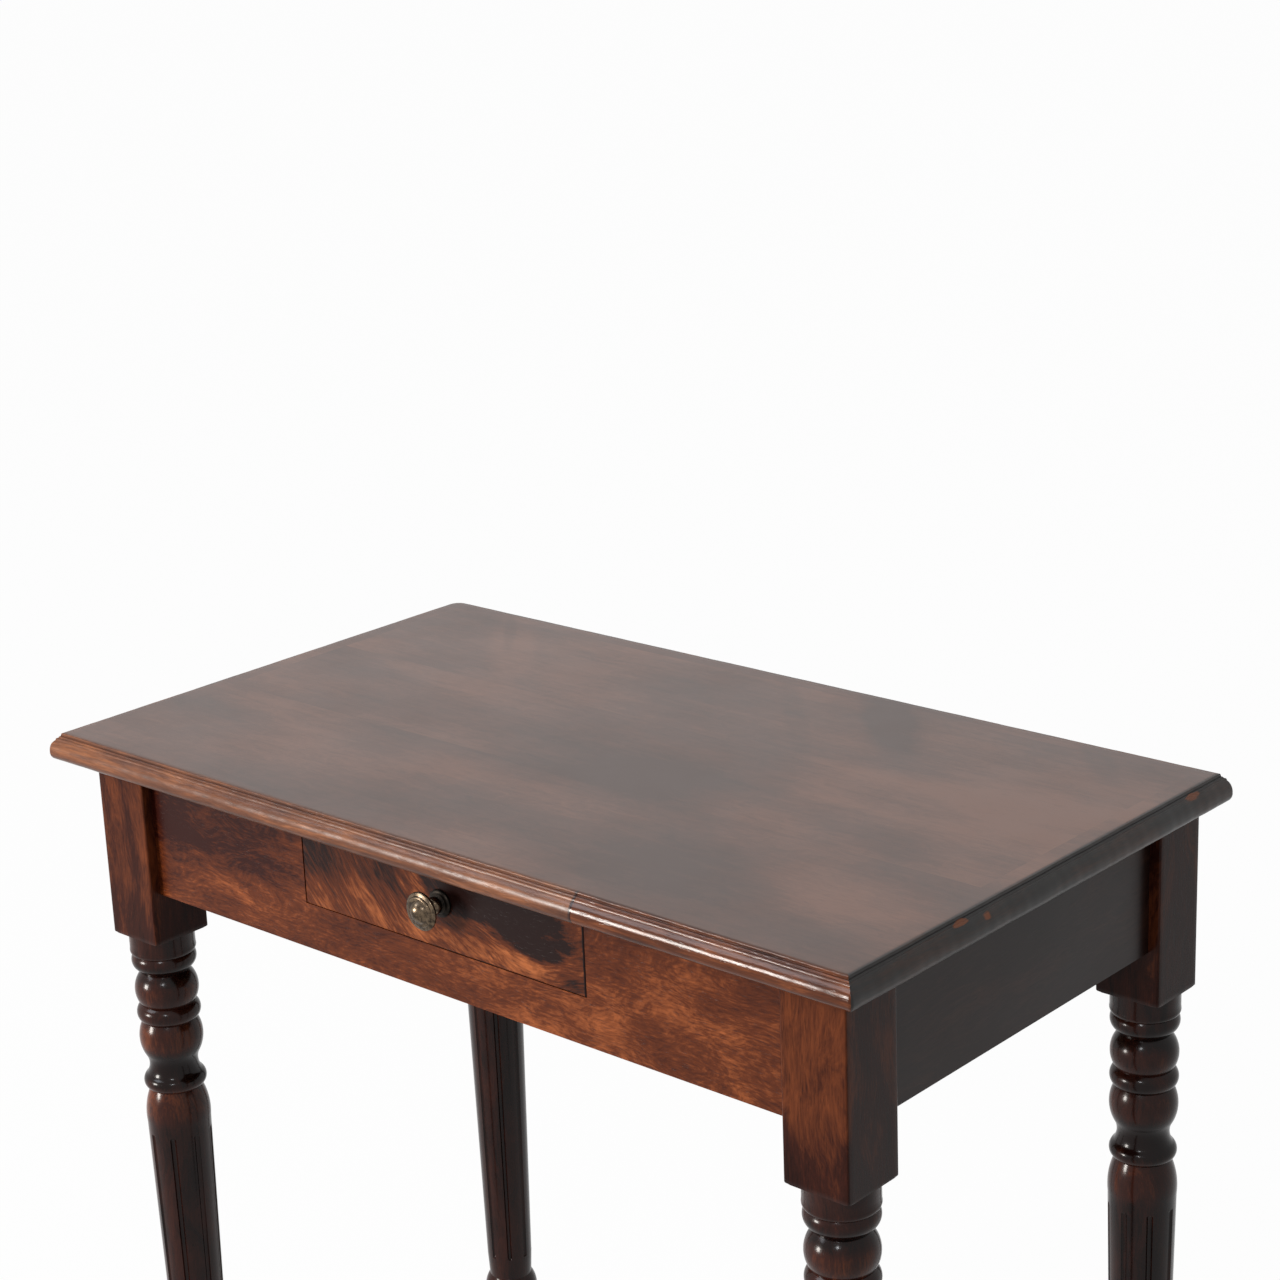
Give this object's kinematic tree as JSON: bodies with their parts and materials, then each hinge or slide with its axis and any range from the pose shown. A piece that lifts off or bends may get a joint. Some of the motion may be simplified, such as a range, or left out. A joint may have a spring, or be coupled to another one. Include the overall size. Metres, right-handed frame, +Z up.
{
  "type": "writing desk",
  "caption": "Small wooden writing desk with a flat moulded top, a drawer with a turned brass knob, and legs that are turned, tapered and fluted.",
  "frame": {"origin": "on the floor, below the middle of the top", "axes": "+X along the width, to the right of someone sitting at the drawer; +Y from the drawer's side to the back; +Z up"},
  "size_m": [0.8, 0.46, 0.77],
  "materials": {
    "top_wood": "waxed, worn satin",
    "moulding_wood": "waxed, worn satin",
    "leg_wood": "dark varnish, glossy",
    "apron_wood": "dark varnish, satin",
    "inner_wood": "bare, aged",
    "drawer_front_wood": "dark varnish, satin",
    "drawer_box_wood": "bare, aged",
    "brass": "antique, darkened",
    "steel": "dull"
  },
  "bodies": {
    "frame": {"top_board_front": "top_wood", "top_board_middle": "top_wood", "top_board_back": "top_wood", "front_edge_moulding_left": "moulding_wood", "front_edge_moulding_right": "moulding_wood", "back_edge_moulding": "moulding_wood", "left_edge_moulding": "moulding_wood", "right_edge_moulding": "moulding_wood", "front_left_leg": "leg_wood", "front_right_leg": "leg_wood", "back_left_leg": "leg_wood", "back_right_leg": "leg_wood", "front_apron": "apron_wood", "back_apron": "apron_wood", "left_apron": "apron_wood", "right_apron": "apron_wood", "front_left_brace": "inner_wood", "front_right_brace": "inner_wood", "back_left_brace": "inner_wood", "back_right_brace": "inner_wood", "top_buttons": "inner_wood", "left_runner": "inner_wood", "right_runner": "inner_wood", "left_drawer_guide": "inner_wood", "right_drawer_guide": "inner_wood", "left_kicker": "inner_wood", "right_kicker": "inner_wood", "left_drawer_stop": "inner_wood", "right_drawer_stop": "inner_wood", "brace_screws": "steel", "button_screws": "steel", "kicker_screws": "steel"},
    "drawer": {"drawer_front": "drawer_front_wood", "drawer_left_side": "drawer_box_wood", "drawer_right_side": "drawer_box_wood", "drawer_back": "drawer_box_wood", "drawer_bottom": "drawer_box_wood", "drawer_bottom_screws": "steel", "knob": "brass", "knob_rosette": "brass", "knob_nut": "steel"}
  },
  "joints": [
    {"name": "drawer_slide", "type": "slide", "parent": "frame", "child": "drawer", "axis": [0, -1, 0], "range_m": [0, 0.26]}
  ]
}
